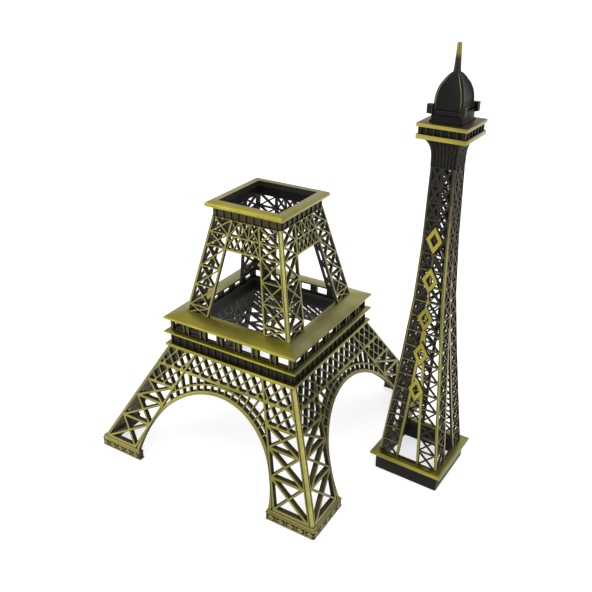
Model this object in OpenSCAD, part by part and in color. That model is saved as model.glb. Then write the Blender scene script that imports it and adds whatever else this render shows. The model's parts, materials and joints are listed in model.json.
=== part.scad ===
// Miniature lattice tower in two sections, die-cast and finished in antique brass.
// The lower section has four feet, four legs, arches, a railed platform and a tapering second
// stage with an open square collar. The upper section is a tall spire whose skirt drops into
// that collar. Here the upper section stands beside the lower one, on the same surface.
// Origin: on that surface, at the centre of the lower section's four feet. Z is up, -Y is front.

/* [Lower section] */
// Width across the feet
base_w = 190; // [160:1:220]
// Height of the foot plinths
foot_h = 8.7; // [7:0.1:11]
// Length of each arm of a foot plinth
foot_l = 38.7; // [34:0.1:42]
// Height of the chord bar that runs above the arches
chord_z = 68.8; // [66.5:0.1:71]
// Height of the top of the legs
leg_top_z = 82; // [80:0.1:84]
// Width of the legs' top, across the tower
leg_top_w = 109.8; // [106:0.1:114]
// Depth of the lattice walls of the lower section
wall_t = 3.2; // [2:0.1:4]

/* [Platform] */
// Height of the platform's top
platform_z = 108.5; // [106:0.1:112]
// Width of the projecting cornice
cornice_w = 112.4; // [110:0.1:118]
// Number of windows on each side of the gallery
window_n = 7; // [3:2:9]
// Number of ribs on each side of the platform frieze
rib_n = 17; // [9:2:21]

/* [Second stage] */
// Width of the second stage at its foot
stage_foot_w = 88.7; // [84:0.1:90]
// Width of the second stage at its top
stage_top_w = 56.8; // [56:0.1:60]
// Height of the top of the second stage's columns
stage_top_z = 180; // [170:0.1:190]
// Width of the collar
collar_w = 63.4; // [60:0.1:68]
// Width of the square socket through the collar
socket_w = 49.3; // [49.2:0.1:50.5]

/* [Upper section] */
// Where the upper section stands, to the right of the lower section's centre
spire_x = 120.7; // [118:0.1:160]
// Where the upper section stands, front to back
spire_y = 15.7; // [-60:0.1:60]
// Turn of the upper section on the surface, in degrees
spire_turn = -2; // [-20:0.5:20]
// Width of the plug skirt that drops into the socket
plug_w = 48; // [47:0.1:48.8]
// Height of the plug skirt
plug_h = 12.6; // [8:0.1:16]
// Width of the shaft's foot
shaft_foot_w = 45.2; // [44:0.1:46]
// Width of the deck under the dome
deck_w = 31.6; // [29:0.1:34]
// Height of the antenna above the dome
antenna_h = 16.3; // [10:0.1:24]

/* [Hidden] */
brass = [0.64, 0.60, 0.24];
patina = [0.17, 0.16, 0.13];
span = 400;                  // longer than the model, for extrusions that are cut to shape

// Lower section: half-widths at a height, front view
foot_half = base_w / 2;
foot_t = 5.5;                // thickness of a plinth arm
leg_half = foot_half - 2;    // outer half-width of the legs where they stand on the plinths
leg_slope = (leg_half - leg_top_w / 2) / (leg_top_z - foot_h);
rail_half = leg_half - 30.7; // centre line of the legs' inner rails, at the plinths
rail_slope = 0.455;
rail_w = 2;
post_w = 4;                // width of a corner post on each face
lap = 0.8;                   // how far a lattice face runs into its corner post
bar_w = 1.8;                 // leg bars
mesh_w = 1.25;               // fine diamond mesh bars
mesh_pitch = 8.3;
mesh_h = 8.8;
bay_z = [foot_h + 1, 27.3, 43.4, 56];   // centre lines of the legs' cross bars
chord_w = 2;
function leg_x(z) = leg_half - leg_slope * (z - foot_h);
function rail_x(z) = rail_half - rail_slope * (z - foot_h);

// Arches, struck from one centre on each face
arch_z = 2.9;
arch_r = 57.9;
arch_band = 2.7;
arch_ring = 7.1;             // from the inside of the arch to the outside of its outer band
outer_band = 1.4;
spoke_step = 5.55;           // degrees between the ring's spokes
spoke_n = 8;

// Platform
ledge_t = 2;
frieze_z = leg_top_z + ledge_t;
ledge_z = platform_z - 16.2;
gallery_z = ledge_z + 2.7;
cornice_z = platform_z - 4.5;
platform_half = cornice_w / 2 - 3.7;    // outside of the gallery wall
window_pitch = (2 * platform_half - 0.9) / window_n;
window_w = window_pitch - 5.6;
rib_pitch = (2 * platform_half - 2) / (rib_n - 1);

// Second stage
stage_slope = (stage_foot_w - stage_top_w) / 2 / (stage_top_z - platform_z);
stage_t = 2.4;
stage_post = 3;
stage_rail = 1.7;
stage_bar = 1.2;
stage_bay = [0.09, 0.3, 0.5, 0.715, 0.85];   // cross bars, as parts of the stage's height
collar_frieze_h = 6.5;
collar_h = 4;
function stage_z(part) = platform_z + part * (stage_top_z - platform_z);
function stage_x(z) = stage_foot_w / 2 - stage_slope * (z - platform_z);
function stage_rail_x(z) = stage_foot_w / 2 - 19.9 - 0.19 * (z - platform_z);

// Upper section: half-width and height of the shaft's outline
base_ledge_h = 3.2;
shaft_z = plug_h + base_ledge_h;
shaft_half = shaft_foot_w / 2;
neck_z = shaft_z + 212.2;
outline = [[shaft_half, shaft_z], [shaft_half - 4.4, shaft_z + 44], [shaft_half - 8.2, shaft_z + 84],
           [shaft_half - 11.6, shaft_z + 124], [shaft_half - 13.4, shaft_z + 164],
           [shaft_half - 14.4, neck_z]];
shaft_t = 1.6;
shaft_post = 1.9;
shaft_bar = 0.85;
shaft_rail = 2;
bay_n = 19;
bay_h = (neck_z - shaft_z) / bay_n;
fork_x = 8;                  // half-gap between the two inner rails at the shaft's foot
fork_z = shaft_z + 109;      // where the two rails have run together
deck_z = neck_z + 17.5;
deck_half = deck_w / 2;
drum_z = deck_z + 9.5;
dome_z = drum_z + 7;
dome_h = 21.2;
dome_half = 9.3;
plate_z = [74, 101.5, 127.5, 154.5, 182];
plate_size = [11.6, 19];
function shaft_x(z) = lookup(z, [for (p = outline) [p.y, p.x]]);
function fork(z) = max(0, fork_x * (fork_z - z) / (fork_z - shaft_z));

// Straight lines in a plane
function unit(v) = v / norm(v);
function left(v) = [-v.y, v.x];
function meet(p, u, q, v) = p + u * cross(q - p, v) / cross(u, v);
// A convex outline, anticlockwise, with each edge moved inwards by its own distance
function inset(pts, d) = let (n = len(pts)) [for (i = [0 : n - 1])
    let (a = pts[(i + n - 1) % n], b = pts[i], u = unit(b - a), v = unit(pts[(i + 1) % n] - b))
    meet(a + d[(i + n - 1) % n] * left(u), u, b + d[i] * left(v), v)];
function flip(pts) = [for (i = [len(pts) - 1 : -1 : 0]) [-pts[i].x, pts[i].y]];

// A flat shape in front view, carried right through the model from front to back
module through() { rotate([90, 0, 0]) linear_extrude(span, center = true) children(); }
// A side-view shape, [distance to the front, height], carried from left to right
module across(pts) {
    rotate([90, 0, 90]) linear_extrude(span, center = true) polygon([for (p = pts) [-p.x, p.y]]);
}
// The wall behind an outline of [half-width, height] points, t thick
function wall(line, t) = concat(line, [for (i = [len(line) - 1 : -1 : 0]) [line[i].x - t, line[i].y]]);
// A front-view shape cut from such a wall
module wall_piece(line, t) { intersection() { across(wall(line, t)); through() children(); } }
// A line of points with both ends and every kink carried 1 mm past their places
function longer(line) = let (beyond = function(a, b) a + (a - b) / abs(a.y - b.y))
    concat([beyond(line[0], line[1])],
           [for (i = [1 : len(line) - 1]) beyond(line[i], line[i - 1])]);
// A post on the front right corner, its outer edge cut off
module corner_post(line, w, cut) {
    intersection() {
        across(wall(line, w));
        through() polygon(wall(line, w));
        rotate([0, 0, -45]) through() polygon(concat(
            [for (p = longer(line)) [(2 * p.x - cut) / sqrt(2), p.y]],
            flip([for (p = longer(line)) [-(2 * p.x - 2 * w - 1) / sqrt(2), p.y]])));
    }
}
// A front half and its mirror image on the right face
module both_faces() { children(); mirror([1, 1, 0]) children(); }
// A square solid from its outline of [half-width, height] points, with a square hole
module square_ring(line, hole) {
    low = line[0].y;
    high = line[len(line) - 1].y;
    difference() {
        intersection() { through() polygon(concat(line, flip(line)));
                         across(concat(line, flip(line))); }
        if (hole > 0) translate([-hole, -hole, low - 1]) cube([2 * hole, 2 * hole, high - low + 2]);
    }
}
function block(half, z0, z1) = [[half, z0], [half, z1]];

// The four triangular gaps of a crossed bay. Corners run anticlockwise from the lower left;
// edges gives half the width of the member on the bottom, right, top and left. A negative one
// carries the gaps past the edge of the piece that they are cut from
module crossed(a, b, c, d, w, edges) {
    m = meet(a, c - a, b, d - b);
    corners = [a, b, c, d];
    for (i = [0 : 3])
        polygon(inset([corners[i], corners[(i + 1) % 4], m], [edges[i], w / 2, w / 2]));
}
// The part of a convex outline on the left of the line from a to b
function clip(pts, a, b) = let (n = len(pts), s = [for (p = pts) cross(unit(b - a), p - a)])
    [for (i = [0 : n - 1]) let (j = (i + 1) % n) each concat(
        s[i] > 0 ? [pts[i]] : [],
        s[i] * s[j] < 0 ? [pts[i] + (pts[j] - pts[i]) * s[i] / (s[i] - s[j])] : [])];
function clip_all(pts, area, i = 0) = i == len(area) || len(pts) < 3 ? pts
    : clip_all(clip(pts, area[i], area[(i + 1) % len(area)]), area, i + 1);
// An outline without its very short edges
function clean(pts) = [for (i = [0 : len(pts) - 1])
    if (norm(pts[i] - pts[(i + 1) % len(pts)]) > 0.3) pts[i]];
function size(pts) = len(pts) < 3 ? 0
    : [for (i = [0 : len(pts) - 1]) cross(pts[i], pts[(i + 1) % len(pts)]) / 2] * [for (p = pts) 1];
// The gaps of a diamond mesh inside a convex area, row 0 centred at height z. Scraps are left solid
module mesh_gaps(area, z, rows, pitch, high, w) {
    n = ceil(max([for (p = area) abs(p.x)]) / pitch) + 1;
    d = w / 2 * [1, 1, 1, 1];
    for (r = [0 : rows - 1], i = [-n : n]) {
        centre = [(i + (r % 2) / 2) * pitch, z + r * high / 2];
        gap = clip_all([for (p = inset([[0, -high / 2], [pitch / 2, 0], [0, high / 2],
                                        [-pitch / 2, 0]], d)) p + centre], area);
        if (size(gap) > 1.2) polygon(clean(gap));
    }
}

// Lower section
leg_line = [[leg_half, foot_h], [leg_top_w / 2, leg_top_z]];

module foot() {
    z0 = foot_h - 1.6;
    arm = [[foot_half - foot_l, -foot_half + 0.6], [foot_half - 0.6, -foot_half + 0.6],
           [foot_half - 0.6, -foot_half + foot_l], [foot_half - foot_t, -foot_half + foot_l],
           [foot_half - foot_t, -foot_half + foot_t], [foot_half - foot_l, -foot_half + foot_t]];
    color(patina) {
        linear_extrude(z0) polygon(arm);
        linear_extrude(foot_h) intersection() {
            polygon(arm);
            translate([foot_half - foot_l - 1, -foot_half + 1.5])
                square([foot_l - 0.5, foot_l]);
        }
        both_faces() for (i = [0 : 4])
            translate([foot_half - foot_l + 5.2 + i * 7, -foot_half + 1, z0 / 2])
                rotate([90, 0, 0]) linear_extrude(1)
                    polygon([[-2.4, 0], [0, -2.2], [2.4, 0], [0, 2.2]]);
    }
}

module leg_face() {
    low = foot_h;
    side = function(z) leg_x(z) - post_w;
    wall_piece(leg_line, wall_t) difference() {
        polygon([[rail_x(low) - rail_w / 2, low], [side(low) + lap, low],
                 [side(leg_top_z) + lap, leg_top_z],
                 [rail_x(leg_top_z) - rail_w / 2, leg_top_z]]);
        for (i = [0 : 2]) {
            z0 = bay_z[i];
            z1 = bay_z[i + 1];
            crossed([rail_x(z0), z0], [side(z0), z0], [side(z1), z1], [rail_x(z1), z1],
                    bar_w, [1, 0, 1, rail_w / 2]);
        }
        for (z = [[bay_z[3], chord_z], [chord_z, leg_top_z]])
            mesh_gaps(inset([[rail_x(z.x), z.x], [side(z.x), z.x], [side(z.y), z.y],
                             [rail_x(z.y), z.y]], [chord_w / 2, 0, chord_w / 2, rail_w / 2]),
                      chord_z - 1.75 * mesh_h, 7, mesh_pitch, mesh_h, mesh_w);
    }
}
module leg() { color(brass) { both_faces() leg_face(); corner_post(leg_line, post_w, 2.4); } }

// Front-view area between the two inner rails of a face
function between_rails(z0, z1) = let (line = [for (z = [z0, z1]) [rail_x(z) - rail_w / 2, z]])
    concat(line, flip(line));
module arch() {
    color(brass) wall_piece(leg_line, wall_t) intersection() {
        polygon(between_rails(foot_h, chord_z - chord_w / 2));
        translate([0, arch_z]) {
            difference() { circle(arch_r + arch_band, $fn = 120); circle(arch_r, $fn = 120); }
            difference() {
                circle(arch_r + arch_ring, $fn = 120);
                circle(arch_r + arch_ring - outer_band, $fn = 120);
            }
            for (i = [0 : spoke_n - 1], s = [-1, 1])
                rotate(s * spoke_step * (i + 0.5))
                    translate([-mesh_w / 2, arch_r + 1]) square([mesh_w, 24]);
        }
    }
}
module belt() {
    color(brass) wall_piece(leg_line, wall_t) difference() {
        polygon(between_rails(chord_z - chord_w / 2, leg_top_z));
        mesh_gaps(between_rails(chord_z + chord_w / 2, leg_top_z - 0.8),
                  chord_z + mesh_h / 4, 3, mesh_pitch, mesh_h, mesh_w);
    }
}

// Platform
module belt_ledge() {
    half = leg_top_w / 2 + 1.2;
    color(brass) square_ring(block(half, leg_top_z, frieze_z), leg_top_w / 2 - 4);
}
module ribs(half, z0, z1, n, pitch, w) {
    for (turn = [0 : 90 : 270], i = [0 : n - 1])
        rotate(turn) translate([(i - (n - 1) / 2) * pitch - w / 2, -half, z0])
            cube([w, 2, z1 - z0]);
}
module platform_frieze() {
    color(patina) {
        square_ring(block(platform_half, frieze_z, ledge_z), platform_half - 2.5);
        ribs(platform_half + 1, frieze_z, ledge_z, rib_n, rib_pitch, 1.2);
    }
}
module platform_ledge() {
    half = cornice_w / 2 + 0.2;
    color(brass) square_ring([[half - 1, ledge_z], [half, ledge_z + 0.8],
                              [half - 0.4, ledge_z + 1.8], [half - 3, gallery_z]],
                             platform_half - 3);
}
module gallery() {
    z1 = cornice_z;
    color(patina) difference() {
        union() {
            square_ring(block(platform_half, gallery_z, z1), platform_half - 2);
            for (turn = [0 : 90 : 270], i = [0 : window_n], s = [-1, 1])
                if (abs(i - window_n / 2) < window_n / 2 || s * (i - window_n / 2) < 0)
                    rotate(turn) translate([(i - window_n / 2) * window_pitch + s * 2 - 0.7,
                                            -platform_half - 1, gallery_z])
                        cube([1.4, 2, z1 - gallery_z]);
        }
        for (turn = [0, 90], i = [0 : window_n - 1])
            rotate(turn) translate([(i - (window_n - 1) / 2) * window_pitch - window_w / 2,
                                    -span / 2, gallery_z + 1])
                cube([window_w, span, z1 - gallery_z - 1.8]);
    }
}
module cornice() {
    half = cornice_w / 2;
    top = stage_foot_w / 2;
    color(brass) difference() {
        square_ring([[half - 0.5, cornice_z], [half, cornice_z + 0.4],
                     [half - 0.2, cornice_z + 1.3], [top, platform_z]], top - 3.4);
        square_ring([[platform_half - 2, cornice_z - 1], [platform_half - 2, cornice_z + 0.2],
                     [top, platform_z - 1.5], [top - 3.8, platform_z - 1.3]], 0);
    }
}

// Second stage
stage_line = [[stage_x(platform_z), platform_z], [stage_x(stage_top_z), stage_top_z]];

module column_face() {
    side = function(z) stage_x(z) - stage_post;
    z = concat([platform_z + 0.1], [for (p = stage_bay) stage_z(p)], [stage_top_z - 0.1]);
    wall_piece(stage_line, stage_t) difference() {
        polygon([[stage_rail_x(platform_z) - stage_rail / 2, platform_z],
                 [side(platform_z) + lap, platform_z], [side(stage_top_z) + lap, stage_top_z],
                 [stage_rail_x(stage_top_z) - stage_rail / 2, stage_top_z]]);
        for (i = [0 : len(z) - 2])
            crossed([stage_rail_x(z[i]), z[i]], [side(z[i]), z[i]], [side(z[i + 1]), z[i + 1]],
                    [stage_rail_x(z[i + 1]), z[i + 1]], stage_bar, [0.6, 0, 0.6, stage_rail / 2]);
    }
}
module column() {
    color(brass) { both_faces() column_face(); corner_post(stage_line, stage_post, 1.6); }
}
module girder() {
    z0 = stage_z(stage_bay[3]);
    z1 = stage_z(stage_bay[4]);
    cell = (stage_rail_x(z1) - stage_rail / 2) * 2 / 3;
    line = function(a, b) [for (z = [a, b]) [stage_rail_x(z) - stage_rail / 2, z]];
    color(brass) wall_piece(stage_line, stage_t) difference() {
        polygon(concat(line(z0 - 0.8, stage_top_z), flip(line(z0 - 0.8, stage_top_z))));
        mesh_gaps(concat(line(z0 + 0.8, z1 - 0.6), flip(line(z0 + 0.8, z1 - 0.6))),
                  z0 + 0.1, 3, 5.4, z1 - z0, 1);
        for (i = [-1 : 1]) {
            x0 = i * cell - cell / 2;
            top = i * 7.4 - 3.7;
            crossed([x0, z1], [x0 + cell, z1], [top + 7.4, stage_top_z], [top, stage_top_z], 1,
                    [0.6, 0.5, 0.8, 0.5]);
        }
    }
}
module collar_frieze() {
    half = stage_top_w / 2 - 0.9;
    z1 = stage_top_z + collar_frieze_h;
    color(patina) {
        square_ring(block(half, stage_top_z, z1), socket_w / 2 + 0.6);
        ribs(half + 1, stage_top_z, z1, 9, half * 2 / 9, 1);
    }
}
module collar() {
    half = collar_w / 2;
    z0 = stage_top_z + collar_frieze_h;
    color(brass) square_ring([[half - 1.4, z0], [half - 0.4, z0 + 0.4], [half, z0 + 1.4],
                              [half - 0.1, z0 + 2.4], [half - 0.8, z0 + 3.4],
                              [half - 2.2, z0 + collar_h]], socket_w / 2);
}

// Upper section, on its own axis
module on_spire() { translate([spire_x, spire_y, 0]) rotate(spire_turn) children(); }

module plug_skirt() {
    color(patina) on_spire() square_ring(block(plug_w / 2, 0, plug_h), plug_w / 2 - 2);
}
module base_ledge() {
    r = base_ledge_h / 2;
    half = plug_w / 2 + 3.5;
    color(brass) on_spire() square_ring([for (a = [-90 : 30 : 90])
        [half - r + r * cos(a), plug_h + r + r * sin(a)]], plug_w / 2 - 3.5);
}
module shaft_face() {
    side = function(z) shaft_x(z) - shaft_post;
    edge = [for (p = outline) [p.x - shaft_post, p.y]];
    wall_piece(outline, shaft_t) difference() {
        polygon(concat(edge, flip(edge)));
        polygon([[-fork_x + 1, shaft_z + 1], [fork_x - 1, shaft_z + 1],
                 [0.15, fork_z - 16], [-0.15, fork_z - 16]]);
        for (i = [0 : bay_n - 1], s = [0, 1]) mirror([s, 0]) {
            z0 = shaft_z + i * bay_h;
            z1 = z0 + bay_h;
            crossed([fork(z0), z0], [side(z0), z0], [side(z1), z1], [fork(z1), z1],
                    shaft_bar + 0.06 * max(0, i - 5),
                    [0.45, -0.5, 0.45, i < 9 ? shaft_rail / 2 : 0.7]);
        }
    }
}
module shaft(turn) { color(brass) on_spire() rotate(turn) shaft_face(); }
module post(turn) { color(brass) on_spire() rotate(turn) corner_post(outline, shaft_post, 1); }

module neck() {
    foot = outline[len(outline) - 1].x;
    line = [for (i = [0 : 6]) [foot + 4.4 * pow(i / 6, 4), neck_z + (deck_z - neck_z) * i / 6]];
    color(patina) on_spire() {
        square_ring([for (p = line) [p.x - 0.7, p.y]], 0);
        for (turn = [0, 90]) rotate(turn) intersection() {
            across(concat(line, flip(line)));
            through() for (i = [-3 : 3]) translate([i * 2.2 - 0.5, neck_z])
                square([1, deck_z - neck_z]);
        }
        for (turn = [0 : 90 : 270]) rotate(turn) corner_post(line, 1.6, 1.2);
    }
}
module deck() { color(brass) on_spire() square_ring(block(deck_half, deck_z, deck_z + 2.9), 0); }
module parapet() {
    z0 = deck_z + 2.9;
    z1 = deck_z + 7.2;
    color(patina) on_spire() {
        square_ring(block(deck_half - 2, z0, z1), 0);
        ribs(deck_half - 1, z0, z1, 7, (deck_w - 3) / 6, 1);
    }
}
module deck_rail() {
    color(brass) on_spire() square_ring(block(deck_half + 0.1, deck_z + 7.2, drum_z), 0);
}
module drum() {
    color(patina) on_spire()
        square_ring([[10.4, drum_z], [10.4, drum_z + 1.4], [9.7, drum_z + 1.8],
                     [9.7, drum_z + 4], [10.2, drum_z + 4.4], [10.2, dome_z]], 0);
}
module dome_lugs() {
    color(patina) on_spire() for (turn = [0 : 90 : 270]) rotate(turn)
        difference() {
            translate([8.4, -11.8, drum_z + 5]) cube([3.4, 3.4, 5.6]);
            translate([8, -10.2, drum_z + 4]) cube([2.2, 3, 3]);
            translate([0, -dome_half, dome_z - 1]) cube([dome_half, dome_half, 6]);
        }
}
module dome() {
    line = [for (t = [0 : 0.125 : 1]) [2.6 + (dome_half - 2.6) * (1 - pow(t, 2.4)),
                                       dome_z + (dome_h - 0.5) * t]];
    inner = [for (p = line) [p.x - 0.7, p.y]];
    color(patina) on_spire() {
        square_ring(inner, 0);
        for (turn = [0 : 90 : 270]) rotate(turn) corner_post(line, 1.5, 1);
    }
}
module antenna() {
    color(brass) on_spire() translate([0, 0, dome_z + dome_h - 0.5])
        cylinder(h = antenna_h, r1 = 2.4, r2 = 1.5, $fn = 48);
}
// A pierced lozenge lying on the front of the shaft
module plate(i) {
    z = plate_z[i];
    w = plate_size.x / 2;
    h = plate_size.y / 2;
    skin = [for (p = outline) [p.x + 1.2, p.y]];
    color(brass) on_spire() wall_piece(skin, 1.2) translate([0, z]) difference() {
        polygon([[0, -h], [w, 0], [0, h], [-w, 0]]);
        polygon([[0, -h * 0.42], [w * 0.42, 0], [0, h * 0.42], [-w * 0.42, 0]]);
    }
}

module foot_front_right() { foot(); }
module foot_back_right() { rotate(90) foot(); }
module foot_back_left() { rotate(180) foot(); }
module foot_front_left() { rotate(270) foot(); }
module leg_front_right() { leg(); }
module leg_back_right() { rotate(90) leg(); }
module leg_back_left() { rotate(180) leg(); }
module leg_front_left() { rotate(270) leg(); }
module arch_front() { arch(); }
module arch_right() { rotate(90) arch(); }
module arch_back() { rotate(180) arch(); }
module arch_left() { rotate(270) arch(); }
module belt_front() { belt(); }
module belt_right() { rotate(90) belt(); }
module belt_back() { rotate(180) belt(); }
module belt_left() { rotate(270) belt(); }
module column_front_right() { column(); }
module column_back_right() { rotate(90) column(); }
module column_back_left() { rotate(180) column(); }
module column_front_left() { rotate(270) column(); }
module girder_front() { girder(); }
module girder_right() { rotate(90) girder(); }
module girder_back() { rotate(180) girder(); }
module girder_left() { rotate(270) girder(); }
module shaft_front() { shaft(0); }
module shaft_right() { shaft(90); }
module shaft_back() { shaft(180); }
module shaft_left() { shaft(270); }
module post_front_right() { post(0); }
module post_back_right() { post(90); }
module post_back_left() { post(180); }
module post_front_left() { post(270); }
module plate_1() { plate(0); }
module plate_2() { plate(1); }
module plate_3() { plate(2); }
module plate_4() { plate(3); }
module plate_5() { plate(4); }

foot_front_left();
foot_front_right();
foot_back_right();
foot_back_left();
leg_front_left();
leg_front_right();
leg_back_right();
leg_back_left();
arch_front();
arch_right();
arch_back();
arch_left();
belt_front();
belt_right();
belt_back();
belt_left();
belt_ledge();
platform_frieze();
platform_ledge();
gallery();
cornice();
column_front_left();
column_front_right();
column_back_right();
column_back_left();
girder_front();
girder_right();
girder_back();
girder_left();
collar_frieze();
collar();
plug_skirt();
base_ledge();
shaft_front();
shaft_right();
shaft_back();
shaft_left();
post_front_left();
post_front_right();
post_back_right();
post_back_left();
neck();
deck();
parapet();
deck_rail();
drum();
dome_lugs();
dome();
antenna();
plate_1();
plate_2();
plate_3();
plate_4();
plate_5();
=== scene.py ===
"""Looks of the two-section lattice tower in antique brass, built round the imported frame."""
import json
import math
from functools import partial

import bmesh
import bpy
import numpy as np
from mathutils import Matrix, Vector

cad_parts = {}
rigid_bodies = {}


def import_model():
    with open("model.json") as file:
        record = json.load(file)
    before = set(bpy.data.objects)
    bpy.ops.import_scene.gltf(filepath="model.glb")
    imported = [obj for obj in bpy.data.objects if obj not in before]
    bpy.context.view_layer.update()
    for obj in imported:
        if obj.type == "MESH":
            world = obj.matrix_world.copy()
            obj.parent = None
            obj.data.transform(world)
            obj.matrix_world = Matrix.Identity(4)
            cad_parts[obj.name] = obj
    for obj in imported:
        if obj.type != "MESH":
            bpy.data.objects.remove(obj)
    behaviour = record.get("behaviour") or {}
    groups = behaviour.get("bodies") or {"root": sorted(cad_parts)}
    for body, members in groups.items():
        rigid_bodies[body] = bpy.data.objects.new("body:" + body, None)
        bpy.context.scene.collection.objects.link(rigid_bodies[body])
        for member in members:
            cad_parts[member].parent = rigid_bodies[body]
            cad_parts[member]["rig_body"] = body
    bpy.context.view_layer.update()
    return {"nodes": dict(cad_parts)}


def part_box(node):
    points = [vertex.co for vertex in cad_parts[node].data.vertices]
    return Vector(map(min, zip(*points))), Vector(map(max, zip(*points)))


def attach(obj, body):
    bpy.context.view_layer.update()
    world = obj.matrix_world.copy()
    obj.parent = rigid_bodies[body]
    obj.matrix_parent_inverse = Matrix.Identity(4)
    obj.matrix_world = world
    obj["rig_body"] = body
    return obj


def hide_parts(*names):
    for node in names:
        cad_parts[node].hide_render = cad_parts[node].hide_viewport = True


# Lengths in this script are millimetres in a section's own frame, and metres in Blender.
MM = 0.001
BRASS, PATINA = "antique_brass", "dark_patina"
SIDES = ("front", "right", "back", "left")
CORNERS = ("front_right", "back_right", "back_left", "front_left")

for old in list(bpy.data.objects):
    bpy.data.objects.remove(old)
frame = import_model()
node = frame["nodes"]


def size_of(name):
    """Lowest and highest corner of a CAD node, in millimetres."""
    low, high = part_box(name)
    return low / MM, high / MM


def middle_of(name):
    """Where the axis of a CAD node stands, in millimetres."""
    low, high = size_of(name)
    return (low.x + high.x) / 2, (low.y + high.y) / 2


# The upper section stands on its own axis, turned a little on the surface.
UPPER_TURN = math.radians(-2)
AXIS = {"lower_section": (0.0, 0.0, 0.0),
        "upper_section": (*middle_of("antenna"), UPPER_TURN)}


def half_width(name):
    """Half-width of a square node measured along its own sides, in millimetres."""
    turn = abs(AXIS[node[name]["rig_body"]][2])
    low, high = size_of(name)
    return (high.x - low.x) / 2 / (math.cos(turn) + math.sin(turn))


def in_place(body):
    """From a section's own axis, in millimetres, to the row frame."""
    x, y, turn = AXIS[body]
    return Matrix.Translation((x * MM, y * MM, 0)) @ Matrix.Rotation(turn, 4, "Z") @ Matrix.Scale(MM, 4)


# ---------------------------------------------------------------- where the brass is wiped

RIM_GILD = 0.45           # a bevelled rim's share of its face's value
OUTWARD = (0.3, 0.85)     # from a side to a front, by how squarely a face looks outwards
UPWARD = (0.45, 0.95)     # from a side to a top, by how squarely it looks up
INWARD = -0.6             # faces that look further inwards than this are backs
CORNER_REACH = 4.5        # how far from the diagonal a corner post's flats lie
CORNER_FACING = 0.5       # how far such a flat looks outwards both ways
# Painted light: how warm the gold is painted on each side, most on the front and least on the sides, as
# light falls on them.
PAINTED_LIGHT_FRONT, PAINTED_LIGHT_BACK, PAINTED_LIGHT_SIDE, PAINTED_LIGHT_POST = 1.0, 0.25, 0.0, 0.8


def smooth(start, end, x):
    """A soft step from 0 at start to 1 at end."""
    t = np.clip((x - start) / (end - start), 0, 1)
    return t * t * (3 - 2 * t)


def gild(mesh, body, front=0.78, side=0.12, top=0.4, back=0.06, rims=RIM_GILD, corner=1.0, extra=None):
    """Where the brass was wiped bright, face by face: most on faces that look outwards, and
    on the flats of the corner posts. Bevelled rims take a share, rims, of their value.
    extra(value, along the face, height, reach from the axis) may change it.
    The front is painted warmer and more saturated than the back and the sides: painted light, as light
    falls on each side."""
    count = len(mesh.polygons)
    normal, centre = np.empty(count * 3), np.empty(count * 3)
    mesh.polygons.foreach_get("normal", normal)
    mesh.polygons.foreach_get("center", centre)
    x, y, turn = AXIS[body]
    c, s = math.cos(turn), math.sin(turn)
    n = normal.reshape(-1, 3)
    p = centre.reshape(-1, 3) / MM - (x, y, 0)
    n = np.stack([n[:, 0] * c + n[:, 1] * s, n[:, 1] * c - n[:, 0] * s, n[:, 2]], 1)
    q = np.stack([p[:, 0] * c + p[:, 1] * s, p[:, 1] * c - p[:, 0] * s], 1)
    across = np.abs(q[:, 0]) > np.abs(q[:, 1])
    out = np.where(across, n[:, 0] * np.sign(q[:, 0]), n[:, 1] * np.sign(q[:, 1]))
    value = side + (front - side) * smooth(*OUTWARD, out)
    value = np.maximum(value, top * smooth(*UPWARD, n[:, 2]))
    value = np.where(out < INWARD, back, value)
    rim = np.zeros(count, np.int32)
    mesh.polygons.foreach_get("material_index", rim)
    value = np.where(rim > 0, value * rims, value)
    mesh.polygons.foreach_set("material_index", np.zeros(count, np.int32))
    post = ((n[:, :2] * np.sign(q)).min(1) > CORNER_FACING) & (rim == 0) \
        & (np.abs(np.abs(q[:, 0]) - np.abs(q[:, 1])) < CORNER_REACH)
    value = np.where(post, np.maximum(value, corner), value)
    if extra:
        value = extra(value, np.where(across, q[:, 1], q[:, 0]), p[:, 2], np.abs(q).max(1))
    # Painted light: the front is painted warm gold, and the back and sides paler.
    painted_light_tone = np.where(across, PAINTED_LIGHT_SIDE, np.where(q[:, 1] < 0, PAINTED_LIGHT_FRONT, PAINTED_LIGHT_BACK))
    painted_light_tone = np.where(post, PAINTED_LIGHT_POST, painted_light_tone)
    for key, values in (("gild", value), ("painted_light_tone", painted_light_tone)):
        layer = mesh.attributes.new(key, "FLOAT", "FACE")
        layer.data.foreach_set("value", values.astype(np.float32))


# ---------------------------------------------------------------- materials

# Noise scales, in features per millimetre
CLOUDS, SPECKS, WEAR, GRAIN, DRIFT, LINES = 0.09, 1.7, 0.6, 5.5, 0.019, 3.0
DRIFT_AND_HIGHLIGHT_PLACE = (140, 60, 0)       # which part of the slow drift falls on the model; the drift partly paints a soft highlight
LINE_STRETCH = (0.04, 0.04, 1)   # drawn lines run long and level
WORN_RADIUS = 0.16               # edges sharper than this show as worn
UNWIPED_TO_WIPED = (0.16, 0.86)  # values of gild, with wear and specks, between dark and bright
UNWIPED_ROUGH, LINE_ROUGH = 0.14, 0.12
BUMP_STRENGTH, BUMP_DEPTH = 0.35, 0.06


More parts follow.
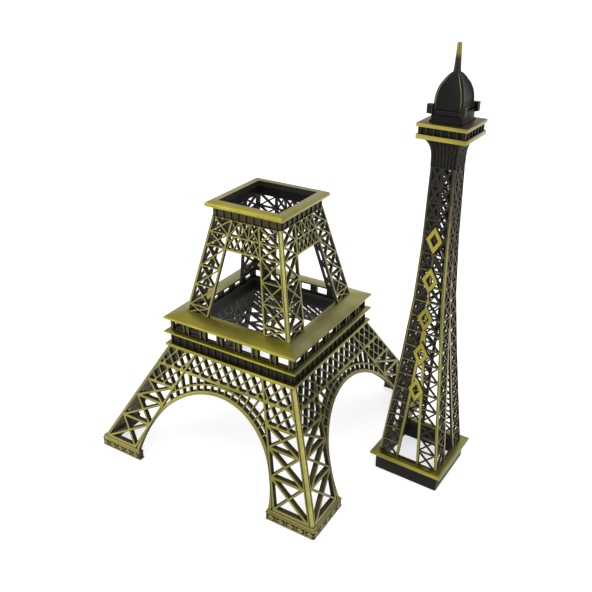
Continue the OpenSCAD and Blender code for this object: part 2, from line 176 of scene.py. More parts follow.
class Tree:
    """Short ways to add shader nodes."""

    def __init__(self, name):
        self.material = bpy.data.materials.new(name)
        self.material.use_nodes = True
        self.nodes = self.material.node_tree.nodes
        self.links = self.material.node_tree.links
        self.nodes.clear()

    def set(self, socket, value):
        if isinstance(value, bpy.types.NodeSocket):
            self.links.new(value, socket)
        else:
            socket.default_value = value

    def add(self, kind, inputs=None, **settings):
        made = self.nodes.new("ShaderNode" + kind)
        for key, value in settings.items():
            setattr(made, key, value)
        for key, value in (inputs or {}).items():
            self.set(made.inputs[key], value)
        return made

    def math(self, operation, a, b, clamp=False):
        return self.add("Math", {0: a, 1: b}, operation=operation, use_clamp=clamp).outputs[0]

    def ramp(self, value, low, high, to_low=0.0, to_high=1.0):
        """A soft step between two values, from to_low to to_high."""
        made = self.add("MapRange", {"Value": value, "From Min": low, "From Max": high,
                                     "To Min": to_low, "To Max": to_high},
                        interpolation_type="SMOOTHSTEP")
        return made.outputs["Result"]

    def noise(self, where, scale, detail=3.0, roughness=0.55):
        made = self.add("TexNoise", {"Vector": where, "Scale": scale, "Detail": detail,
                                     "Roughness": roughness})
        return made.outputs["Fac"]

    def mix(self, factor, a, b):
        made = self.add("Mix", data_type="RGBA")
        self.set(made.inputs[0], factor)
        self.set(made.inputs[6], a)
        self.set(made.inputs[7], b)
        return made.outputs[2]


def brass(name, gold=(0.265, 0.244, 0.062, 1), pale=(0.245, 0.232, 0.108, 1),
          brown=(0.12, 0.098, 0.045, 1), dark=(0.016, 0.0135, 0.009, 1), sheen=0.16,
          shine=(0.28, 0.44), reach=2.6, edge=0.3, streak=0.0, grain=0.25, patches=0.25, swing=0.12):
    """Antique brass: wiped bright on what stands out, nearly black where polish can't reach.

    gold and pale are its wiped colours, brown is half wiped and dark not at all; the back and
    sides are painted pale and the front gold, as painted light. sheen is its specular level and
    shine its least and most roughness. reach is how wide a recess stays dark, 0 for none of that,
    and edge is how far its edges are rubbed. streak, grain and patches are the strengths of its
    drawn lines, fine bumps and specks, and swing is how far its brightness drifts in slow clouds,
    which partly vary its tone at random and partly paint a soft highlight."""
    t = Tree(name)
    where = t.add("Mapping", {"Vector": t.add("TexCoord").outputs["Object"],
                              "Scale": (1 / MM, 1 / MM, 1 / MM)}).outputs[0]
    wiped = t.add("Attribute", attribute_name="gild").outputs["Fac"]

    cloud = t.noise(where, CLOUDS, 4.0, 0.6)
    speck = t.noise(where, SPECKS, 5.0, 0.65)
    mask = wiped
    if reach:
        # Recesses stay dark, corners that stand out are rubbed through.
        open_to = t.add("AmbientOcclusion", {"Distance": reach * MM}, samples=8).outputs["AO"]
        open_to = t.ramp(open_to, 0.3, 0.9)
        mask = t.math("MULTIPLY", mask, t.math("ADD", t.math("MULTIPLY", open_to, 0.5), 0.5))
        rounded = t.add("Bevel", {"Radius": WORN_RADIUS * MM}, samples=4).outputs["Normal"]
        flat = t.add("NewGeometry").outputs["Normal"]
        turned = t.add("VectorMath", {0: rounded, 1: flat}, operation="DOT_PRODUCT").outputs["Value"]
        worn = t.math("MULTIPLY", t.ramp(turned, 0.995, 0.90), t.ramp(open_to, 0.35, 0.8))
        mask = t.math("ADD", mask, t.math("MULTIPLY", worn, edge))
    patchy = t.math("MULTIPLY", t.math("SUBTRACT", speck, 0.5), patches)
    mask = t.math("ADD", mask, t.math("MULTIPLY", patchy, t.ramp(mask, 0.05, 0.5)))
    mask = t.ramp(mask, *UNWIPED_TO_WIPED)

    # Colour: olive gold, drifting to pale and brown in soft clouds
    painted_light_tone = t.add("Attribute", attribute_name="painted_light_tone").outputs["Fac"]
    # Painted light: besides the clouds, the sides and back are painted pale and the front gold.
    pale_by_cloud_and_light = t.math("SUBTRACT", t.ramp(cloud, 0.38, 0.66, 0.55, 1.1), painted_light_tone, clamp=True)
    tone = t.mix(pale_by_cloud_and_light, gold, pale)
    tone = t.mix(t.math("MULTIPLY", t.ramp(cloud, 0.5, 0.3), 0.3), tone, brown)
    # Painted highlight: a slow cloud that lifts and lowers the brightness, partly random tone and partly
    # a soft painted highlight on the broad faces.
    moved = t.add("Mapping", {"Vector": where, "Location": DRIFT_AND_HIGHLIGHT_PLACE}).outputs[0]
    drift_and_highlight = t.ramp(t.noise(moved, DRIFT, 2.0), 0.36, 0.64, 1 - swing, 1 + swing)
    tone = t.add("HueSaturation", {"Color": tone, "Value": drift_and_highlight}).outputs[0]
    half = t.ramp(mask, 0.0, 0.55)
    colour = t.mix(half, dark, t.mix(t.ramp(mask, 0.3, 0.9), brown, tone))

    # Gloss: it varies softly, and is duller where the brass wasn't wiped
    rough = t.ramp(t.noise(where, WEAR, 4.0), 0.3, 0.7, *shine)
    unwiped = t.math("SUBTRACT", 1.0, mask)
    rough = t.math("ADD", rough, t.math("MULTIPLY", unwiped, UNWIPED_ROUGH), clamp=True)

    height = t.math("MULTIPLY", t.noise(where, GRAIN, 4.0, 0.7), grain)
    if streak:
        drawn = t.add("Mapping", {"Vector": where, "Scale": LINE_STRETCH}).outputs[0]
        lines = t.noise(drawn, LINES, 3.0)
        height = t.math("ADD", height, t.math("MULTIPLY", lines, streak))
        rough = t.math("ADD", rough, t.math("MULTIPLY", t.math("SUBTRACT", lines, 0.5), LINE_ROUGH))
    bump = t.add("Bump", {"Strength": BUMP_STRENGTH, "Distance": BUMP_DEPTH * MM,
                          "Height": height}).outputs[0]

    shader = t.add("BsdfPrincipled", {
        "Base Color": colour, "Metallic": t.ramp(mask, 0.0, 0.45),
        "Specular IOR Level": sheen, "Roughness": rough, "Normal": bump})
    out = t.add("OutputMaterial", {"Surface": shader.outputs[0]})
    out.is_active_output = True
    return t.material


LATTICE = brass("brass_lattice")
FINE = brass("brass_fine_lattice", reach=1.8, edge=0.25, shine=(0.3, 0.46))
BROAD = brass("brass_brushed", gold=(0.31, 0.272, 0.04, 1), pale=(0.285, 0.272, 0.122, 1),
              brown=(0.19, 0.155, 0.04, 1), grain=0.02,
              shine=(0.30, 0.40), reach=0, patches=0.05, swing=0.2)
TAN = brass("brass_tan", gold=(0.27, 0.222, 0.05, 1), pale=(0.25, 0.222, 0.095, 1),
            brown=(0.15, 0.105, 0.03, 1), streak=0.3, grain=0.05,
            shine=(0.26, 0.38), reach=0, patches=0.25, swing=0.2)
DARK = brass("dark_patina_cast", gold=(0.17, 0.158, 0.075, 1), pale=(0.18, 0.175, 0.11, 1),
             brown=(0.075, 0.062, 0.03, 1), dark=(0.007, 0.0066, 0.006, 1), edge=0.6, sheen=0.1,
             shine=(0.20, 0.36), reach=2.0, grain=0.12, patches=0.15)
PLINTH = brass("brass_plinth", gold=(0.24, 0.208, 0.07, 1), reach=0.8, edge=0.5,
               shine=(0.32, 0.5), grain=0.5, patches=0.4)


# ---------------------------------------------------------------- pieces

FLAT_AREA = 90e-6      # square metres: larger faces stay flat, so eased edges don't bend their shading
# Degrees: edges sharper than these stay sharp, on cast pieces, on mouldings and on round pieces
CAST_SMOOTH, MOULD_SMOOTH, ROUND_SMOOTH = 20, 35, 40


def finish_piece(name, mesh, body, nodes, slot, material, smooth_angle, **wiped):
    """Makes a mesh, already in the row frame, into a piece that stands for CAD nodes."""
    mesh.update()
    gild(mesh, body, **wiped)
    mesh.materials.clear()
    mesh.materials.append(material)
    piece = bpy.data.objects.new(name, mesh)
    bpy.context.scene.collection.objects.link(piece)
    mesh.polygons.foreach_set("use_smooth", [f.area < FLAT_AREA for f in mesh.polygons])
    mesh.set_sharp_from_angle(angle=math.radians(smooth_angle))
    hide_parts(*nodes)
    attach(piece, body)


# A cast piece is its CAD node with softened edges.
WELD = 0.002            # points closer than this are one
LEVEL_ANGLE = 0.4       # degrees: faces nearer to level with each other than this are one
SHARP_ANGLE = 25        # degrees: outside edges sharper than this are softened
RIM_FACING = 0.8        # how squarely one of an edge's faces looks outwards where the edge is a rim
ROUND_RIM = 0.3         # rims at least this wide get a second face

# Bevels mark the faces that they make with the second of these, for gild to read.
MARKS = [bpy.data.materials.new(key) for key in ("land", "rim")]


def softened(name, rim, rest, cuts=()):
    """A CAD node's mesh with its outward rims bevelled by rim mm, its other edges by rest mm.
    cuts are planes, (point, normal) in the section's own frame, that split its faces."""
    source = node[name]
    body = source["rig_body"]
    bm = bmesh.new()
    bm.from_mesh(source.data)
    bmesh.ops.remove_doubles(bm, verts=bm.verts, dist=WELD * MM)
    bmesh.ops.dissolve_limit(bm, angle_limit=math.radians(LEVEL_ANGLE), verts=bm.verts, edges=bm.edges)
    place = in_place(body)
    for point, normal in cuts:
        bmesh.ops.bisect_plane(bm, geom=[*bm.verts, *bm.edges, *bm.faces], dist=1e-7,
                               plane_co=place @ Vector(point),
                               plane_no=(place.to_3x3() @ Vector(normal)).normalized())
    bmesh.ops.triangulate(bm, faces=[f for f in bm.faces if len(f.verts) > 4])
    bm.normal_update()
    x, y, turn = AXIS[body]
    spin = Matrix.Rotation(-turn, 3, "Z")
    weight = bm.edges.layers.float.new("bevel_weight_edge")
    for edge in bm.edges:
        if len(edge.link_faces) != 2 or edge.calc_face_angle_signed(0) < math.radians(SHARP_ANGLE):
            continue
        middle = spin @ ((edge.verts[0].co + edge.verts[1].co) / 2 - Vector((x, y, 0)) * MM)
        wide = abs(middle.x) > abs(middle.y)
        facing = []
        for face in edge.link_faces:
            n = spin @ face.normal
            facing.append(n.x * math.copysign(1, middle.x) if wide else n.y * math.copysign(1, middle.y))
        edge[weight] = 1.0 if max(facing) > RIM_FACING else rest / rim
    mesh = bpy.data.meshes.new(name + "_mesh")
    bm.to_mesh(mesh)
    bm.free()
    mesh.polygons.foreach_set("material_index", np.zeros(len(mesh.polygons), np.int32))
    mesh.materials.clear()
    for mark in MARKS:
        mesh.materials.append(mark)
    holder = bpy.data.objects.new(name + "_holder", mesh)
    bpy.context.scene.collection.objects.link(holder)
    cut = holder.modifiers.new("rims", "BEVEL")
    cut.limit_method = "WEIGHT"
    cut.width = rim * MM
    cut.segments = 2 if rim >= ROUND_RIM else 1
    cut.use_clamp_overlap = False
    cut.material = 1
    shaped = bpy.data.meshes.new_from_object(
        holder.evaluated_get(bpy.context.evaluated_depsgraph_get()))
    bpy.data.objects.remove(holder)
    if "bevel_weight_edge" in shaped.attributes:
        shaped.attributes.remove(shaped.attributes["bevel_weight_edge"])
    return shaped


def soften(name, slot, material, rim=0.3, rest=0.12, cuts=(), **wiped):
    """Puts a cast piece in the place of a CAD node."""
    finish_piece(name + "_cast", softened(name, rim, rest, cuts), node[name]["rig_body"], [name],
                 slot, material, CAST_SMOOTH, **wiped)


def loops_mesh(name, body, loops, closed=False):
    """Quads between loops of points in a section's own frame, all with the same point count.
    The last loop joins the first where it is closed, and otherwise both ends are capped."""
    bm = bmesh.new()
    place = in_place(body)
    rings = [[bm.verts.new(place @ Vector(p)) for p in loop] for loop in loops]
    join_rings(bm, rings + rings[:1] if closed else rings)
    if not closed:
        cap_rings(bm, rings)
    bmesh.ops.recalc_face_normals(bm, faces=bm.faces)
    mesh = bpy.data.meshes.new(name)
    bm.to_mesh(mesh)
    bm.free()
    return mesh


def join_rings(bm, rings):
    """Quads from each ring of mesh points to the next."""
    n = len(rings[0])
    for a, b in zip(rings, rings[1:]):
        for i in range(n):
            bm.faces.new((a[i], a[(i + 1) % n], b[(i + 1) % n], b[i]))


def cap_rings(bm, rings):
    """A face over the first ring and one over the last."""
    bm.faces.new(list(reversed(rings[0])))
    bm.faces.new(rings[-1])


def square_loop(half, z, corner, steps=4):
    """A square of that half-width, anticlockwise, its corners rounded in steps."""
    corner = min(corner, half * 0.45)
    points = []
    for k in range(4):
        mid = math.radians(45 + 90 * k)
        cx = math.copysign(half - corner, math.cos(mid))
        cy = math.copysign(half - corner, math.sin(mid))
        for i in range(steps + 1):
            angle = math.radians(90 * k + 90 * i / steps)
            points.append((cx + corner * math.cos(angle), cy + corner * math.sin(angle), z))
    return points


def arc(centre, radius, start, end, steps):
    """Points of a profile on an arc, angles in degrees from outwards, anticlockwise."""
    angles = [math.radians(start + (end - start) * i / steps) for i in range(steps + 1)]
    return [(centre[0] + radius * math.cos(a), centre[1] + radius * math.sin(a)) for a in angles]


def eased(profile, radius, steps=3):
    """A profile of (half-width, height) points with its corners rounded by about that radius."""
    made = [profile[0]]
    for a, b, c in zip(profile, profile[1:], profile[2:]):
        a, b, c = Vector(a), Vector(b), Vector(c)
        reach = min(radius, (a - b).length * 0.45, (c - b).length * 0.45)
        p, q = b + (a - b).normalized() * reach, b + (c - b).normalized() * reach
        for i in range(steps + 1):
            t = i / steps
            made.append(tuple(p * (1 - t) ** 2 + b * 2 * t * (1 - t) + q * t * t))
    made.append(profile[-1])
    return made


def moulding(name, profile, slot, material, bend, closed=True, **wiped):
    """A square moulding, swept round a section's axis from its profile, in place of a CAD node.
    bend is the radius of its corners seen from above."""
    body = node[name]["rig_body"]
    loops = [square_loop(half, z, bend) for half, z in profile]
    finish_piece(name + "_moulding", loops_mesh(name, body, loops, closed), body, [name],
                 slot, material, MOULD_SMOOTH, **wiped)


def band(name, round_by, bend, material=BROAD, slot=BRASS, wall=4.0, lip=None, **wiped):
    """A moulding between a node's lowest and highest corner, with edges eased by round_by.
    lip(half-width, lowest, highest) is its outside, and wall is how far in its back lies."""
    low, high = size_of(name)
    half = half_width(name)
    outside = lip(half, low.z, high.z) if lip else [(half, low.z), (half, high.z)]
    profile = eased([(half - wall, low.z), *outside, (half - wall, high.z)], round_by)
    moulding(name, profile, slot, material, bend, **wiped)


# ---- lower section

for side in CORNERS:
    soften("leg_" + side, BRASS, LATTICE, 0.34, 0.14)
    soften("column_" + side, BRASS, LATTICE, 0.26, 0.12)
for side in SIDES:
    soften("arch_" + side, BRASS, LATTICE, 0.3, 0.14, side=0.24)
    soften("belt_" + side, BRASS, LATTICE, 0.3, 0.14)
    soften("girder_" + side, BRASS, FINE, 0.22, 0.1)

soften("platform_frieze", PATINA, DARK, 0.16, 0.1, front=0.3, top=0.2, rims=1.2, corner=0.3)
soften("gallery", PATINA, DARK, 0.2, 0.12, front=0.5, top=0.3, side=0.06, corner=0.5)
soften("collar_frieze", PATINA, DARK, 0.16, 0.1, front=0.42, top=0.2, rims=1.2, corner=0.4)

# The ledge over the legs: a flat band with a fine bead above
band("belt_ledge", 0.25, 0.5, wall=5.2, top=0.9,
     lip=lambda h, a, b: [(h - 0.3, a), (h, a + 0.3), (h, a + 1.2), (h - 0.35, a + 1.35),
                          (h - 0.3, b - 0.2), (h - 0.7, b)])
# The ledge under the gallery, its top sloping back to the wall
band("platform_ledge", 0.3, 0.6, wall=6.9, top=0.95,
     lip=lambda h, a, b: [(h - 1.2, a), (h - 0.3, a + 0.4), (h, a + 0.9), (h - 0.2, a + 1.6),
                          (h - 0.9, a + 1.9), (h - 3, b)])
# The collar that receives the upper section
band("collar", 0.3, 0.5, wall=7.05, top=0.95,
     lip=lambda h, a, b: [(h - 1.5, a), (h - 0.5, a + 0.4), (h, a + 1.3), (h - 0.1, a + 2.4),
                          (h - 0.8, a + 3.3), (h - 2.2, b)])


def cornice():
    """The broad cornice: a rounded nosing, then a long slope up to the second stage."""
    low, high = size_of("cornice")
    h = half_width("cornice")
    a, b = low.z, high.z
    profile = [(h - 5.7, a), (h - 0.8, a), (h, a + 0.35), (h - 0.05, a + 1.0), (h - 0.7, a + 1.75),
               (h - 6, (a + b) / 2 + 0.95), (h - 11.5, b - 0.02), (h - 12.3, b), (h - 15.2, b),
               (h - 15.2, b - 1.3), (h - 11.9, b - 1.5), (h - 5.7, a + 0.2)]
    moulding("cornice", eased(profile, 0.3), BRASS, BROAD, 0.45, top=1.0)


cornice()


# ---- feet: an L-shaped plinth with a rounded corner, a grooved lip and a band of lozenges

FOOT_INSET = 0.55        # from the node's outside to the plinth's wall
FOOT_THICK = 4.9         # from the outer wall to the inner one
FOOT_CORNER = 1.6
BORDER_INSET = 0.05      # of the flat borders under and over the band
BORDER_LOW, BORDER_HIGH = 0.9, 2.5    # above the ground, and below the plinth's top
FIELD_DEPTH = 0.45       # of the sunk band between the borders
FIELD_SLOPE = 0.25       # height of the slope from a border to the band
FIELD_GILD = 0.15        # the band's share of the polish
LOZENGES = 5             # on each arm, with three studs between each two
LOZENGE_START = 4.6      # from the arm's end to the middle of its first lozenge
LOZENGE_ENDS = 8.4       # how much shorter than the arm their row is
STUD_GAP = 1.15


def offset_loop(points, inset, z):
    """An anticlockwise outline moved inwards."""
    made, n = [], len(points)
    for i in range(n):
        a, b, c = points[i - 1], points[i], points[(i + 1) % n]
        u, v = (b - a).normalized(), (c - b).normalized()
        inward = (Vector((-u.y, u.x)) + Vector((-v.y, v.x))).normalized()
        p = b + inward * inset / max(0.3, inward.dot(Vector((-u.y, u.x))))
        made.append((p.x, p.y, z))
    return made


def raised(bm, place, centre, outline, levels):
    """A closed ornament on a wall: its outline at each (scale, height above the wall)."""
    rings = [[bm.verts.new(place @ Vector((centre[0] + x * scale, -rise, centre[1] + z * scale)))
              for x, z in outline] for scale, rise in levels]
    join_rings(bm, rings)
    cap_rings(bm, rings)


def lozenge(bm, place, centre, w=2.6, h=2.2, rise=0.5, hole=0.5):
    """A raised lozenge on a wall, its face sunk inside a rim."""
    raised(bm, place, centre, [(w, 0), (0, h), (-w, 0), (0, -h)],
           [(1, -0.3), (1, rise * 0.7), (0.9, rise), (hole + 0.08, rise),
            (hole, rise * 0.4), (hole * 0.3, rise * 0.75)])


def stud(bm, place, centre, radius=0.5, rise=0.42, sides=10):
    """A small domed stud on a wall."""
    angles = [math.tau * i / sides for i in range(sides)]
    raised(bm, place, centre, [(radius * math.cos(a), radius * math.sin(a)) for a in angles],
           [(1, -0.2), (1, 0.1), (0.8, rise * 0.7), (0.4, rise)])


def foot(name, quarter):
    """The front right foot, turned to its own corner by quarter turns."""
    low, high = size_of(name)
    out, arm, top = max(abs(low.x), abs(high.x)), high.x - low.x, high.z
    back, edge = out - arm, out - FOOT_INSET
    inner = edge - FOOT_THICK
    bend = [math.radians(-90 + 15 * i) for i in range(7)]
    corner = [(edge - FOOT_CORNER + FOOT_CORNER * math.cos(a),
               -edge + FOOT_CORNER + FOOT_CORNER * math.sin(a)) for a in bend]
    outline = [Vector(p) for p in
               [(back, -edge), *corner, (edge, -back), (inner, -back), (inner, -inner), (back, -inner)]]
    # Each level is (inset, height): a foot bevel, the sunk band, then the lip and its groove.
    levels = [(0.35, 0), (BORDER_INSET, 0.35), (BORDER_INSET, BORDER_LOW),
              (FIELD_DEPTH, BORDER_LOW + FIELD_SLOPE), (FIELD_DEPTH, top - BORDER_HIGH - FIELD_SLOPE),
              (BORDER_INSET, top - BORDER_HIGH), (0.0, top - 2.1), (0.25, top - 1.75),
              (0.8, top - 1.65), (1.05, top - 1.35), (0.75, top - 1.0), (0.8, top - 0.25), (1.05, top)]
    mesh = loops_mesh(name, "lower_section", [offset_loop(outline, d, z) for d, z in levels])
    bm = bmesh.new()
    bm.from_mesh(mesh)
    middle = (BORDER_LOW + top - BORDER_HIGH) / 2
    start, pitch = back + LOZENGE_START, (arm - LOZENGE_ENDS) / (LOZENGES - 1)
    # Both walls' own frames: x along the wall, -y outwards. The second mirrors the first.
    wall = Matrix.Translation((0, -edge + FIELD_DEPTH, 0))
    mirror = Matrix(((0, -1, 0, 0), (-1, 0, 0, 0), (0, 0, 1, 0), (0, 0, 0, 1)))
    for place in (Matrix.Scale(MM, 4) @ wall, Matrix.Scale(MM, 4) @ mirror @ wall):
        for i in range(LOZENGES):
            at = start + pitch * i
            lozenge(bm, place, (at, middle))
            if i < LOZENGES - 1:
                for dz in (-STUD_GAP, 0, STUD_GAP):
                    stud(bm, place, (at + pitch / 2, middle + dz))
    bmesh.ops.recalc_face_normals(bm, faces=bm.faces)
    bmesh.ops.transform(bm, matrix=Matrix.Rotation(math.radians(90 * quarter), 4, "Z"), verts=bm.verts)
    bm.to_mesh(mesh)
    bm.free()
    proud = edge - FIELD_DEPTH * 0.6

    def plinth_gild(value, along, z, reach):
        """The sunk band between the plinth's borders stays dark."""
        field = (z > BORDER_LOW + 0.1) & (z < top - BORDER_HIGH - 0.1) & (reach < proud)
        return np.where(field, value * FIELD_GILD, value)

    finish_piece(name + "_plinth", mesh, "lower_section", [name], PATINA, PLINTH, MOULD_SMOOTH,
                 front=0.8, top=0.9, side=0.3, extra=plinth_gild)


for quarter, side in enumerate(CORNERS):
    foot("foot_" + side, quarter)


# ---- upper section: its shaft

BAYS = 19
SHAFT_FOOT = size_of("shaft_front")[0].z
BAY = (size_of("shaft_front")[1].z - SHAFT_FOOT) / BAYS
RAIL_FOOT = 8.0                        # the two inner rails start this far from the middle
RAIL_TOP = SHAFT_FOOT + 109            # and meet at this height
RAIL_LEAN = RAIL_FOOT / (RAIL_TOP - SHAFT_FOOT)
RAIL_HALF, RUNG_HALF = 1.0, 0.46       # half the width of a rail and of a level bar
RUNG_GILD = 0.72
# Painted light: the crossed bars on the left and right faces are painted brighter than on the front and
# back.
CROSSED_SHARE_AND_SIDE_LIGHT = {"front": 0.32, "right": 0.6, "back": 0.32, "left": 0.6}
FLAT_GILD, CHAMFER_GILD = 0.85, 0.95
# The polish fades between the two heights, by the share that follows them.
RAIL_FADE, BAR_FADE, POST_FADE = (120, 200, 0.7), (120, 215, 0.45), (125, 228, 0.6)


def fading(z, low, high, share):
    """How much of the polish is left at a height."""
    return 1 - share * smooth(low, high, z)


def shaft_gild(value, along, z, reach, crossed):
    """The two inner rails are wiped as bright as the posts, the level bars less, the crossed
    bars by the share crossed, which paints light as brighter on the left and right faces, and all of
    them darken going up."""
    rail = np.abs(np.abs(along) - RAIL_LEAN * np.maximum(0, RAIL_TOP - z)) < RAIL_HALF * 0.97
    bay = (z - SHAFT_FOOT) / BAY
    rung = np.abs(bay - np.round(bay)) * BAY < RUNG_HALF
    lattice = value * np.where(rung, RUNG_GILD, crossed) * fading(z, *BAR_FADE)
    return np.where(rail, value * fading(z, *RAIL_FADE), lattice)


def post_gild(value, along, z, reach):
    """The posts' flats are wiped less than their chamfers, and both fade going up."""
    return value * np.where(value > 0.95, CHAMFER_GILD, FLAT_GILD) * fading(z, *POST_FADE)


for quarter, side in enumerate(SIDES):
    turned = Matrix.Rotation(math.radians(90 * quarter), 3, "Z")
    rails = [(turned @ Vector((s * (RAIL_FOOT + k), 0, SHAFT_FOOT)), turned @ Vector((s, 0, RAIL_LEAN)))
             for s in (-1, 1) for k in (-RAIL_HALF, RAIL_HALF)]
    rungs = [((0, 0, SHAFT_FOOT + BAY * i + k), (0, 0, 1))
             for i in range(1, BAYS) for k in (-RUNG_HALF, RUNG_HALF)]
    soften("shaft_" + side, BRASS, FINE, 0.16, 0.08, cuts=rails + rungs, side=0.1, top=0.7,
           extra=partial(shaft_gild, crossed=CROSSED_SHARE_AND_SIDE_LIGHT[side]))
for side in CORNERS:
    soften("post_" + side, BRASS, FINE, 0.2, 0.12, extra=post_gild,
           cuts=[((0, 0, SHAFT_FOOT + BAY * i), (0, 0, 1)) for i in range(1, BAYS)])
for i in range(1, 6):
    soften(f"plate_{i}", BRASS, BROAD, 0.3, 0.12, front=0.62)


# ---- upper section: its plug, base and head

def drum():
    """A dark drum between a foot moulding and a head moulding."""
    low, high = size_of("drum")
    h, a, b = half_width("drum"), low.z, high.z
    profile = [(h, a), (h, a + 1.1), (h - 0.75, a + 1.6), (h - 0.75, b - 2.6), (h - 0.1, b - 2.2),
               (h, b - 1.2), (h - 0.3, b)]
    moulding("drum", eased(profile, 0.3), PATINA, DARK, 0.5, closed=False,
             front=0.22, top=0.25, corner=0.25)


soften("parapet", PATINA, DARK, 0.16, 0.1, front=0.25, top=0.2, corner=0.25)
soften("dome_lugs", PATINA, DARK, 0.3, 0.22, front=0.3, top=0.5, rims=1.0)
band("plug_skirt", 0.5, 0.8, DARK, PATINA, wall=2, front=0.1, top=0.1, corner=0.15)
band("base_ledge", 0.2, 0.7, wall=7.0, front=0.72, top=0.85,
     lip=lambda h, a, b: [(h - 1.7, a), *arc((h - 1.5, (a + b) / 2), 1.5, -80, 80, 8), (h - 1.7, b)])
band("deck", 0.35, 0.5, TAN, wall=half_width("deck") - 1.0, top=0.55,
     lip=lambda h, a, b: [(h - 0.2, a), (h, a + 0.4), (h, b)])
band("deck_rail", 0.35, 0.5, TAN, wall=half_width("deck_rail") - 1.0, top=0.45)
drum()

DOME_STEPS, DOME_TOP, DOME_POWER = 28, 2.5, 3.1   # rings, half-width at the top, how square it is
RIDGE_FULL = 6.0                                  # half-width from which the ridges are full size
PANEL_DEPTH, FLUTE_DEPTH = 0.75, 0.7              # below the ridges, and between the ribs
NECK_STEPS, NECK_FLARE, NECK_POWER = 24, 4.4, 4   # rings, how far it flares, how late
FLUTE_PITCH = 0.262                               # of the half-width
RIDGE_BAND = (1.1, 1.9)                           # from the corner, where the ridges' crests lie
RIDGE_GILD, GROOVE_GILD, PANEL_GILD = 0.6, 0.2, 0.06
NECK_CORNER, NECK_CORNER_GILD, NECK_GILD = 0.5, 0.4, 0.2
ROD_STEPS, ROD_SIDES = 20, 28
ROD_LOW, ROD_NARROWING, ROD_POWER = 2.1, 0.72, 0.8    # radius over the collar, what it loses, how soon


def ribbed(half, z, ridges):
    """A square section whose faces carry ridges, each point (offset along the face, depth)."""
    points = []
    for k in range(4):
        c, s = math.cos(math.pi / 2 * k), math.sin(math.pi / 2 * k)
        for x, depth in ridges:
            y = -(half - depth)
            points.append((x * c - y * s, x * s + y * c, z))
    return points


def dome_face(half):
    """Smooth panels, and on each corner two ridges with a hollow between them."""
    k = min(1.0, half / RIDGE_FULL)
    panel = PANEL_DEPTH * k
    right = [(half - 2.3 * k, panel), (half - 2.05 * k, panel * 0.85), (half - 1.75 * k, 0.08 * k),
             (half - 1.5 * k, 0), (half - 1.2 * k, 0.1 * k), (half - 0.95 * k, 0.42 * k)]
    return [(-x, d) for x, d in reversed(right)] + [(0, panel * 0.8)] + right \
        + [(half - 0.6 * k, 0.6 * k)]


def neck_face(half):
    """Seven flutes between rounded ribs, fanning out as the neck flares."""
    made = []
    for i in range(-3, 4):
        x = i * half * FLUTE_PITCH
        made += [(x - 0.75, FLUTE_DEPTH), (x - 0.5, 0.1), (x - 0.25, 0), (x + 0.25, 0),
                 (x + 0.5, 0.1), (x + 0.75, FLUTE_DEPTH)]
    return [(-half + 0.15, 0.15), *made, (half - 0.15, 0.15)]


def dome():
    """A squarish dome that curves in to a small flat top."""
    low, high = size_of("dome")
    width = half_width("dome")

    def half_at(t):
        """Its half-width at a share of its height."""
        return DOME_TOP + (width - DOME_TOP) * (1 - t ** DOME_POWER)

    def dome_gild(value, along, z, reach):
        """Only the ridges catch a rub of brass."""
        half = half_at(np.clip((z - low.z) / (high.z - low.z), 0, 1))
        inset = (half - np.abs(along)) / np.minimum(1, half / RIDGE_FULL)
        near, far = RIDGE_BAND
        return np.where((inset > near) & (inset < far), RIDGE_GILD,
                        np.where(inset < near, GROOVE_GILD, PANEL_GILD))

    shares = [i / DOME_STEPS for i in range(DOME_STEPS + 1)]
    loops = [ribbed(half_at(t), low.z + (high.z - low.z) * t, dome_face(half_at(t))) for t in shares]
    finish_piece("dome_shell", loops_mesh("dome", "upper_section", loops), "upper_section", ["dome"],
                 PATINA, DARK, ROUND_SMOOTH, front=0.1, side=0.08, top=0.1, extra=dome_gild)


def neck():
    """The fluted neck, which flares out under the deck."""
    low, high = size_of("neck")
    wide = half_width("neck")
    narrow = wide - NECK_FLARE

    def neck_gild(value, along, z, reach):
        """A thin rub of brass runs up each corner."""
        corner = reach - np.abs(along) < NECK_CORNER
        return np.where(corner, NECK_CORNER_GILD, np.minimum(value, NECK_GILD))

    loops = []
    for i in range(NECK_STEPS + 1):
        t = i / NECK_STEPS
        half = narrow + (wide - narrow) * t ** NECK_POWER
        loops.append(ribbed(half, low.z + (high.z - low.z) * t, neck_face(half)))
    finish_piece("neck_flare", loops_mesh("neck", "upper_section", loops), "upper_section", ["neck"],
                 PATINA, DARK, MOULD_SMOOTH, front=0.2, side=0.05, top=0.1, extra=neck_gild)


def antenna():
    """A round rod that tapers from a collar up to a rounded tip."""
    low, high = size_of("antenna")
    tall = high.z - low.z
    # Each point is (radius, height above its foot).
    taper = [(ROD_LOW - ROD_NARROWING * (i / ROD_STEPS) ** ROD_POWER,
              1.3 + (tall - 2.3) * i / ROD_STEPS) for i in range(ROD_STEPS + 1)]
    profile = [(2.4, 0), (2.25, 0.5), *taper, (1.3, tall - 0.45), (1.05, tall - 0.12), (0.55, tall)]
    angles = [math.tau * i / ROD_SIDES for i in range(ROD_SIDES)]
    loops = [[(r * math.cos(a), r * math.sin(a), low.z + z) for a in angles] for r, z in profile]

    def rod_gild(value, along, z, reach):
        """It is dark at its foot and bright at its tip."""
        return 0.1 + 0.8 * smooth(low.z + tall * 0.2, high.z, z)

    finish_piece("antenna_rod", loops_mesh("antenna", "upper_section", loops), "upper_section",
                 ["antenna"], BRASS, TAN, ROUND_SMOOTH, extra=rod_gild)


dome()
neck()
antenna()


# ---------------------------------------------------------------- floor, light and camera

PAPER, PAPER_GLOW = (0.72, 0.72, 0.72, 1), 0.85
FLOOR_HALF, FLOOR_DROP = 6.0, 0.0002      # metres; the drop keeps the paper clear of the feet
WORLD_LIGHT = 0.8
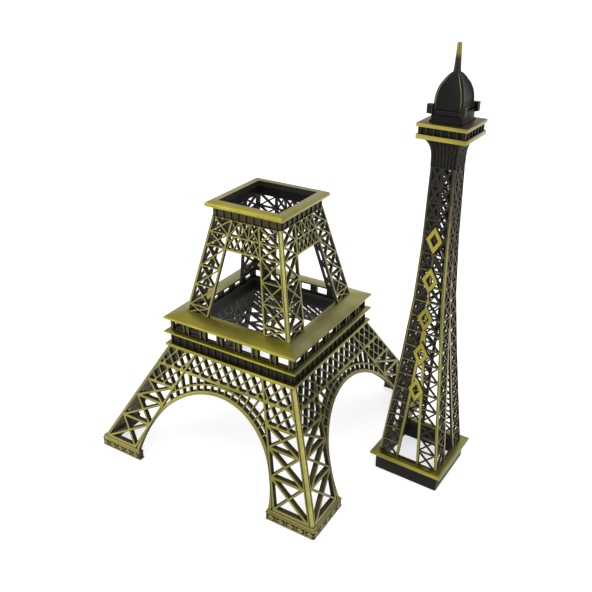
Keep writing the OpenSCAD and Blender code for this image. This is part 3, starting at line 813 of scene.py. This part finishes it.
# Each softbox: where it is, what it aims at and how wide and high it is, in metres, and its watts
SOFTBOXES = {"overhead": ((-0.2, -0.3, 1.3), (0.05, 0, 0.1), 1.5, 6),
             "left": ((-1.1, -0.9, 0.7), (0.03, 0, 0.12), 0.9, 5),
             "right": ((1.2, -0.4, 0.7), (0.03, 0, 0.12), 0.9, 5)}
CAMERA_PLACE = (0.2660, -0.39446, 0.35971)
CAMERA_AZIMUTH, CAMERA_ELEVATION = math.radians(31.69), math.radians(27.45)
CAMERA_LENS, CAMERA_SENSOR = 44.07, 36.0


def plain(name, colour, roughness):
    """Matt paper that varies very little and glows enough to stay pale."""
    t = Tree(name)
    tint = t.mix(t.noise(t.add("TexCoord").outputs["Object"], 2.0), colour,
                 tuple(0.985 * c for c in colour[:3]) + (1,))
    shader = t.add("BsdfPrincipled", {"Base Color": tint, "Roughness": roughness,
                                      "Emission Color": tint, "Emission Strength": PAPER_GLOW})
    t.add("OutputMaterial", {"Surface": shader.outputs[0]})
    return t.material


def aim(thing, place, direction):
    """Places a light or camera so that it looks along a direction, and shows it in the scene."""
    made = bpy.data.objects.new(thing.name, thing)
    made.location = place
    made.rotation_mode = "QUATERNION"
    made.rotation_quaternion = direction.to_track_quat("-Z", "Y")
    bpy.context.scene.collection.objects.link(made)
    return made


sheet = bpy.data.meshes.new("floor")
sheet.from_pydata([(x * FLOOR_HALF, y * FLOOR_HALF, 0) for x, y in ((-1, -1), (1, -1), (1, 1), (-1, 1))],
                  [], [(0, 1, 2, 3)])
sheet.materials.append(plain("white_paper", PAPER, 0.9))
floor = bpy.data.objects.new("floor", sheet)
floor.location.z = -FLOOR_DROP
bpy.context.scene.collection.objects.link(floor)

world = bpy.data.worlds.new("studio")
world.use_nodes = True
world.node_tree.nodes["Background"].inputs["Color"].default_value = (1, 1, 1, 1)
world.node_tree.nodes["Background"].inputs["Strength"].default_value = WORLD_LIGHT
bpy.context.scene.world = world

for name, (place, target, size, watts) in SOFTBOXES.items():
    lamp = bpy.data.lights.new(name, "AREA")
    lamp.shape = "SQUARE"
    lamp.size = size
    lamp.energy = watts
    aim(lamp, place, Vector(target) - Vector(place))

bpy.context.scene.view_settings.view_transform = "Standard"

lens = bpy.data.cameras.new("camera")
lens.lens = CAMERA_LENS
lens.sensor_width = CAMERA_SENSOR
level = math.cos(CAMERA_ELEVATION)
from_model = Vector((math.sin(CAMERA_AZIMUTH) * level, -math.cos(CAMERA_AZIMUTH) * level,
                     math.sin(CAMERA_ELEVATION)))
bpy.context.scene.camera = aim(lens, CAMERA_PLACE, -from_model)
